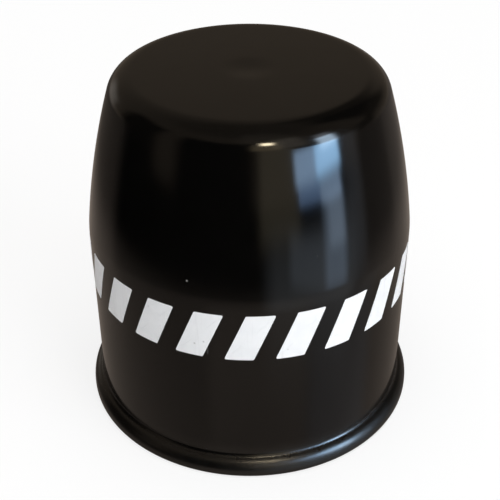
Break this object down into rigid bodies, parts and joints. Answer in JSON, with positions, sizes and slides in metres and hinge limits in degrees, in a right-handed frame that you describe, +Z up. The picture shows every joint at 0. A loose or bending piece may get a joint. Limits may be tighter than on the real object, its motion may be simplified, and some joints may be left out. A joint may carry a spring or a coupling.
{
  "type": "tow ball cap",
  "caption": "Black moulded push-on cap that covers a car's tow ball: hollow round shell with a flat crown, bowed taper, straight skirt and a beaded rim.",
  "frame": {"origin": "centre of the cap's foot, on the plane that its rim stands on", "axes": "+Z up along the axis from the open mouth to the closed crown, -Y towards the printed front"},
  "size_m": [0.0582, 0.0582, 0.0604],
  "materials": {
    "black_plastic": "moulded black plastic, semi-gloss",
    "white_print": "white stamped print, satin"
  },
  "bodies": {
    "root": {"cap": "black_plastic"}
  },
  "joints": []
}
